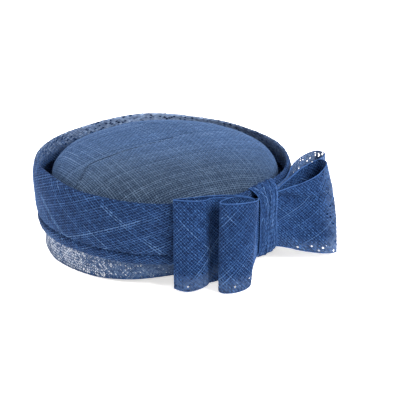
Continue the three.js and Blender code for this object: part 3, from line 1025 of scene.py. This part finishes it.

# %% [markdown]
# Below the hem a single layer of the same cloth looks out, and the hat stands on its edge. One layer is
# sheer: a few holes of its backing are open, daylight is painted faintly into the others, and pale specks
# painted on its threads stand for the table and the light seen through it. Only its lowest few millimetres
# are doubled, where the raw edge is turned up into a narrow hem. The edge lifts a little at the front, and
# more under the bow.

# %% Base strip
STRIP_CLOTH = {
    "pitch": 0.00135, "slants": (45, -45), "radius": 0.00025, "wander": 0.0006,
    "slubs": (0.6, 0.6), "patches": 430.0, "seed": 23, "thread": sheer_thread, "backing": sheer_backing,
}
STRIP_OUT = -7.7
STRIP_TOP = 24
FRONT_LIFT = {"height": 3.2, "turn": -86, "spread": 34}
STRIP_SHEER = 0.2
STRIP_COLUMNS = 240
STRIP_ROWS = 14

strip_turn = np.linspace(90, 450, STRIP_COLUMNS + 1)[:, None]
strip_share = np.linspace(0, 1, STRIP_ROWS)[None, :]
front_lift = FRONT_LIFT["height"] * bell(strip_turn, FRONT_LIFT["turn"], FRONT_LIFT["spread"])
strip_foot = foot_height(strip_turn) + front_lift
strip_height = strip_foot + (STRIP_TOP - strip_foot) * strip_share
strip_angle = np.radians(strip_turn)
strip_wave = (0.22 * np.sin(9 * strip_angle) + 0.18 * np.sin(14 * strip_angle + 1)) * (1 - strip_share)
strip_points = around_hat(strip_turn, STRIP_OUT + strip_wave, strip_height)
strip_sheer = STRIP_SHEER * ease(strip_height - strip_foot, 1.6, 3.2)
strip_sheet, strip_threads = weave("base_strip", strip_points, strip_sheer, STRIP_CLOTH, True)
print("base strip grid:", strip_points.shape)

# %% Hem of the strip
HEM_ROLL = 0.0004
HEM_RISE = 0.0003
HEM_SHADE = 0.25

hem_line = strip_points[:-1, 0] + [0, 0, HEM_RISE]
strip_hem = rolled_edge(
    "base_strip_hem", "base_strip", [hem_line], HEM_ROLL, HEM_SHADE, sheer_thread, True
)
print("base strip hem:", len(strip_hem.data.polygons), "faces")

# %% [markdown]
# Each loop of the bow is one ribbon that leaves the knot, goes out, bends round at its tip and comes back.
# The tables give the ribbon's lower and upper edge at a few stations, and the sheet is stretched between
# the two smooth curves. Where the knot squeezes the ribbon its width is gathered into small pleats, which
# fade out over a few centimetres. Far from the knot the ribbon may bulge, or hold a crease from its folding.

# %% Ribbon between two edges
STATION = ("turn", "out", "foot", "top", "lean")
LOOP_COLUMNS = 160
RIBBON_ROWS = 34
PLEATS = 5.5
PLEAT_DEPTH = 0.9
PLEAT_REACH = 0.09
LOOP_TIP = 0.5
BULGE_REACH = 0.16
CREASE = {"start": 1.0, "fall": 0.7, "width": 0.026, "ridge_at": 0.09, "ridge_width": 0.06}


def outward(points):
    """Unit normals of a grid of points."""
    along = np.gradient(points, axis=0)
    across = np.gradient(points, axis=1)
    normal = np.cross(along, across)
    return normal / np.maximum(np.linalg.norm(normal, axis=2, keepdims=True), 1e-12)


def hump(share, centre, spread):
    """A bump along a closed ribbon, by share of its length."""
    gap = (share - centre + 0.5) % 1 - 0.5
    return np.exp(-((gap / spread) ** 2))


def ribbon_points(rows, bulge, crease):
    """Ribbon between its two edge curves, pleated at its root, where its ends meet."""
    table = np.array([[row[key] for key in STATION] for row in rows], float)
    turn, out, foot, top, lean = table.T
    along = np.linspace(0, 1, LOOP_COLUMNS + 1)
    lower = smooth_curve(around_hat(turn, out + lean / 2, foot), along, True)
    upper = smooth_curve(around_hat(turn, out - lean / 2, top), along, True)
    across = np.linspace(0, 1, RIBBON_ROWS)[None, :, None]
    points = lower[:, None] * (1 - across) + upper[:, None] * across
    points[-1] = points[0]
    share = across[..., 0]
    pleat = np.sin(2 * np.pi * PLEATS * share + 1.2 * np.sin(6 * np.pi * share) + 7 * along[:, None])
    gathered = hump(along, 0.0, PLEAT_REACH)[:, None]
    depth = PLEAT_DEPTH * MM * gathered * np.sin(np.pi * share) ** 0.5
    belly = bulge * MM * hump(along, LOOP_TIP, BULGE_REACH)[:, None] * np.sin(np.pi * share)
    from_crease = share - (CREASE["start"] - CREASE["fall"] * along[:, None])
    front_half = ease(along, 0.03, 0.12)[:, None] * ease(along, 0.52, 0.46)[:, None]
    groove = np.exp(-((from_crease / CREASE["width"]) ** 2))
    ridge = np.exp(-(((from_crease - CREASE["ridge_at"]) / CREASE["ridge_width"]) ** 2))
    belly = belly - crease * MM * (groove - 0.5 * ridge) * front_half
    bent = points + outward(points) * (pleat * depth + belly)[..., None]
    bent[-1] = bent[0]
    return bent


print("ribbon grid:", LOOP_COLUMNS, "by", RIBBON_ROWS)

# %% Stations of the loops
def loop_rows(*rows):
    """Stations along a loop: turn, way out, height of the lower and the upper edge, and lean."""
    return [dict(zip(STATION, row)) for row in rows]


LEFT_LONG = loop_rows(
    (-47, -1.75, 15.5, 60, 0), (-54, -0.05, 9, 66, 0), (-66, 0.95, 4, 71.5, 0), (-79, 0.95, 3, 72.5, 0),
    (-86, 3.4, 3.4, 72.5, 1), (-81, 7, 1.2, 73, 0), (-75.6, 7.3, 2.8, 72.1, 0), (-72.6, 5.4, 4.0, 71.6, 0),
    (-70.0, 1.5, 6, 70.5, 0), (-62.5, 1.6, 10.5, 69, 0), (-54, 1.2, 12.5, 65, 0),
    (-47, -0.35, 15.5, 60, 0), (-45.8, -1.05, 16, 59, 0),
)
LEFT_SHORT = loop_rows(
    (-47, 1.1, 15.5, 60, 0), (-54, 3.3, 12, 66, 0), (-61, 5.4, 8, 70, 0), (-68, 9.6, 4.5, 71, -1),
    (-69.4, 15, 1.5, 72, -2), (-65, 20, 0.4, 72.5, -4), (-57.6, 19.5, 1.5, 71.5, -6), (-53.8, 12, 5, 69, -7),
    (-51, 5.6, 11, 64, -1), (-47.8, 2.5, 15.5, 60, 0), (-45.6, 1.8, 16, 59, 0),
)
RIGHT_FRONT = loop_rows(
    (-37.4, 1.8, 16, 59, 0), (-34.6, 2.3, 15.5, 60, 0), (-30.6, 8, 13, 62, 0), (-26.5, 17, 9, 64, 3),
    (-21.9, 29, 5.5, 69, 8), (-17.6, 34, 3.5, 75, 10), (-14.2, 26.5, 4, 75, 8), (-17, 12.5, 8, 70, 2),
    (-25, 4.6, 11, 65, 0), (-35, 1.1, 15.5, 60, 0),
)
RIGHT_BACK = loop_rows(
    (-37.2, -1.05, 16, 59, 0), (-36, -0.35, 15.5, 60, 0), (-23, 2.1, 10, 63, 0), (-14.4, 8.4, 7, 67, 0),
    (-10, 19, 4, 70, 1), (-5, 25.5, 2, 72, 1), (-2.2, 19.3, 2, 72.5, 0), (-4.9, 9.4, 3, 71, 0),
    (-12, 1.6, 5, 68, 0), (-23, 0.65, 9, 64, 0), (-36, -1.65, 15.5, 60, 0),
)
print("stations of the four loops:", [len(r) for r in (LEFT_LONG, LEFT_SHORT, RIGHT_FRONT, RIGHT_BACK)])

# %% Weave the loops
BOW_CLOTH = {
    "pitch": 0.00182, "slants": (43, -43), "radius": 0.00031, "wander": 0.0005,
    "slubs": (0.13, 0.13), "patches": 60.0, "seed": 41, "thread": bow_thread, "backing": bow_backing,
}
FINE_WEAVE = {"pitch": 0.00125, "radius": 0.00024}
EDGE_ROLL = 0.00036
ROOT_REACH = 0.06
TIP_REACH = 0.07
FOOT_REACH = 0.3
FOOT_EDGE = (0.22, 0.04)
LOOP_SEED_STEP = 7
LOOPS = [
    {
        "node": "bow_loop_left_long", "rows": LEFT_LONG, "weave": {"slants": (42, -44)},
        "bulge": 0.6, "crease": 0.0, "sheer": 0.0, "tip_sheer": 0.0, "foot_sheer": 0.2,
    },
    {
        "node": "bow_loop_left_short", "rows": LEFT_SHORT, "weave": {"slants": (44, -42)},
        "bulge": 0.6, "crease": 0.0, "sheer": 0.0, "tip_sheer": 0.0, "foot_sheer": 0.16,
    },
    {
        "node": "bow_loop_right_front", "rows": RIGHT_FRONT, "weave": {"slants": (35, -48)},
        "bulge": 2.6, "crease": 1.8, "sheer": 0.0, "tip_sheer": 0.17, "foot_sheer": 0.22,
    },
    {
        "node": "bow_loop_right_back", "rows": RIGHT_BACK, "weave": {"slants": (40, -46), **FINE_WEAVE},
        "bulge": 1.0, "crease": 0.0, "sheer": 0.5, "tip_sheer": 0.15, "foot_sheer": 0.1,
    },
]
along_share = np.linspace(0, 1, LOOP_COLUMNS + 1)[:, None]
across_share = np.linspace(0, 1, RIBBON_ROWS)[None, :]
for order, loop in enumerate(LOOPS):
    points = ribbon_points(loop["rows"], loop["bulge"], loop["crease"])
    # sheer, tip_sheer and foot_sheer open a few holes and paint daylight into the cloth: over the whole loop,
    # at its tip, and along its lower edge near the tip
    open_tip = loop["tip_sheer"] * hump(along_share, LOOP_TIP, TIP_REACH)
    open_foot = loop["foot_sheer"] * ease(across_share, *FOOT_EDGE) * hump(along_share, LOOP_TIP, FOOT_REACH)
    away_from_root = 1 - hump(along_share, 0.0, ROOT_REACH)
    sheer = np.clip(loop["sheer"] + open_tip + open_foot, 0, 0.9) * away_from_root
    cloth = {**BOW_CLOTH, **loop["weave"], "seed": BOW_CLOTH["seed"] + LOOP_SEED_STEP * order}
    sheet, threads = weave(loop["node"], points, sheer, cloth, True)
    edges = rolled_edge(
        loop["node"] + "_edges", loop["node"], [points[:-1, 0], points[:-1, -1]],
        EDGE_ROLL, ROLL_SHADE, bow_thread, True,
    )
    print(loop["node"], "laid flat:", [round(side, 3) for side in flat_size(points)], "m")

# %% [markdown]
# The knot is a short strip of the same ribbon, drawn tight: it starts inside the hat, hooks over the rim
# and runs down over the roots of the loops. Drawn tight means creased, so ridges run down its length, and
# its sides roll in towards the band.

# %% Knot
KNOT_TURN = -41
KNOT_ROWS = [
    {"out": -7, "height": 50, "half": 6.5},
    {"out": -7, "height": 59, "half": 7},
    {"out": -6.9, "height": 66, "half": 7.6},
    {"out": -4.6, "height": 69, "half": 7.9},
    {"out": -0.4, "height": 67.2, "half": 7.2},
    {"out": 3.8, "height": 61.5, "half": 5.9},
    {"out": 4.3, "height": 40, "half": 5.5},
    {"out": 4.2, "height": 17.5, "half": 6},
    {"out": 2.2, "height": 13.6, "half": 6},
    {"out": -2.6, "height": 13, "half": 5.5},
]
KNOT_COLUMNS = 150
KNOT_ACROSS = 48
RIDGE_DEPTH = 0.34
SIDE_ROLL = 0.9

knot_along = np.linspace(0, 1, KNOT_COLUMNS)
knot_across = np.linspace(-1, 1, KNOT_ACROSS)[None, :]
route = smooth_curve([(r["out"], r["height"], r["half"]) for r in KNOT_ROWS], knot_along, False)
knot_turn = KNOT_TURN + knot_across * route[:, 2:3]
knot_flat = around_hat(knot_turn, route[:, 0:1] + 0 * knot_across, route[:, 1:2] + 0 * knot_across)
run = knot_along[:, None]
ridges = np.sin(9.5 * knot_across + 2.2 * np.sin(5 * run)) + 0.7 * np.sin(17 * knot_across - 9 * run + 1)
ridges += 0.5 * np.sin(27 * knot_across + 14 * run)
knot_lift = RIDGE_DEPTH * ridges * (1 - knot_across**4) - SIDE_ROLL * knot_across**6
knot_points = knot_flat + outward(knot_flat) * (knot_lift * MM)[..., None]
print("knot grid:", knot_points.shape)

# %% Weave the knot
KNOT_CLOTH = {
    **BOW_CLOTH, "pitch": 0.00135, "slants": (22, -18), "radius": 0.00026, "wander": 0.0009, "seed": 97,
}
KNOT_EDGE_ROLL = 0.00035
knot_sheet, knot_threads = weave(
    "bow_knot", knot_points, np.zeros(knot_points.shape[:2]), KNOT_CLOTH, False
)
knot_edges = rolled_edge(
    "bow_knot_edges", "bow_knot", [knot_points[:, 0], knot_points[:, -1]],
    KNOT_EDGE_ROLL, ROLL_SHADE, bow_thread, False,
)
print("knot edges:", len(knot_edges.data.polygons), "faces")

# %% [markdown]
# The hat is shown as in a plain studio: a pale floor that runs out to white, a broad soft light from the
# front right, which throws the folds of the bow into relief, a weaker one from the left, one from above and
# behind, and a little white all round. The floor glows faintly, as a lit table does, so that the shadow under
# the hat stays weak.

# %% Floor
FLOOR_REACH = 6.0
FLOOR_LEVEL = -0.0002
FLOOR_COLOUR = (0.95, 0.94, 0.925, 1.0)
FLOOR_GLOW = {"colour": (1.0, 0.985, 0.965, 1.0), "strength": 0.68}
FLOOR_CORNERS = ((-1, -1), (1, -1), (1, 1), (-1, 1))

floor_mesh = bpy.data.meshes.new("floor")
floor_points = [(FLOOR_REACH * x, FLOOR_REACH * y, FLOOR_LEVEL) for x, y in FLOOR_CORNERS]
floor_mesh.from_pydata(floor_points, [], [(0, 1, 2, 3)])
floor = bpy.data.objects.new("floor", floor_mesh)
bpy.context.scene.collection.objects.link(floor)
floor_material, _, floor_shader = new_material("pale_floor", roughness=0.9, sheen=0.0, shine=0.1)
floor_shader.inputs["Base Color"].default_value = FLOOR_COLOUR
floor_shader.inputs["Emission Color"].default_value = FLOOR_GLOW["colour"]
floor_shader.inputs["Emission Strength"].default_value = FLOOR_GLOW["strength"]
floor_mesh.materials.append(floor_material)
print("floor reaches", FLOOR_REACH, "m each way")

# %% Light
HAT_MIDDLE = (0.0, 0.0, 0.04)
ROOM_LIGHT = {"colour": (1.0, 1.0, 1.0, 1.0), "strength": 0.4}
LIGHTS = [
    {"name": "key_light", "place": (0.95, -0.7, 1.0), "size": 0.7, "power": 35.5},
    {"name": "left_light", "place": (-1.2, 0.05, 0.6), "size": 0.8, "power": 15.0},
    {"name": "top_light", "place": (-0.1, 0.45, 1.5), "size": 1.3, "power": 28.5},
]


def facing(place, aim):
    """Rotation that turns a lamp or a camera at a place towards a point."""
    run = np.subtract(aim, place)
    return (math.atan2(math.hypot(run[0], run[1]), -run[2]), 0.0, math.atan2(-run[0], run[1]))


for light in LIGHTS:
    lamp = bpy.data.lights.new(light["name"], "AREA")
    lamp.size = light["size"]
    lamp.energy = light["power"]
    holder = bpy.data.objects.new(light["name"], lamp)
    holder.location = light["place"]
    holder.rotation_euler = facing(light["place"], HAT_MIDDLE)
    bpy.context.scene.collection.objects.link(holder)

world = bpy.data.worlds.new("white_studio")
world.use_nodes = True
room = world.node_tree.nodes["Background"]
room.inputs["Color"].default_value = ROOM_LIGHT["colour"]
room.inputs["Strength"].default_value = ROOM_LIGHT["strength"]
bpy.context.scene.world = world
print("soft lights:", [light["name"] for light in LIGHTS])

# %% [markdown]
# The camera stands a good metre away with a long lens, a little above the hat, so the crown shows as a flat
# oval. The plain view transform keeps the blue as bright as it was dyed.

# %% Camera
CAMERA_RISE = 23.3
CAMERA_AWAY = 1.1
CAMERA_PIVOT_HEIGHT = 0.03
CAMERA_AIM = (AXIS_X + 0.02907, AXIS_Y, 0.0302)
LENS = 126.0
SENSOR = 36.0

camera = bpy.data.objects.new("camera", bpy.data.cameras.new("camera"))
camera.data.lens = LENS
camera.data.sensor_width = SENSOR
rise = math.radians(CAMERA_RISE)
camera.location = (
    AXIS_X,
    AXIS_Y - CAMERA_AWAY * math.cos(rise),
    CAMERA_PIVOT_HEIGHT + CAMERA_AWAY * math.sin(rise),
)
camera.rotation_euler = facing(camera.location, CAMERA_AIM)
bpy.context.scene.collection.objects.link(camera)
bpy.context.scene.camera = camera
bpy.context.scene.view_settings.view_transform = "Standard"
print("camera at", [round(v, 4) for v in camera.location])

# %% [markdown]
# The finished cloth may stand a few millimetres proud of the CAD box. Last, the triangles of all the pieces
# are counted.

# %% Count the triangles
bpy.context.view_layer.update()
triangles = sum(len(p.vertices) - 2 for piece in pieces for p in piece.data.polygons)
print("pieces:", len(pieces), "triangles before wall thickness:", triangles)
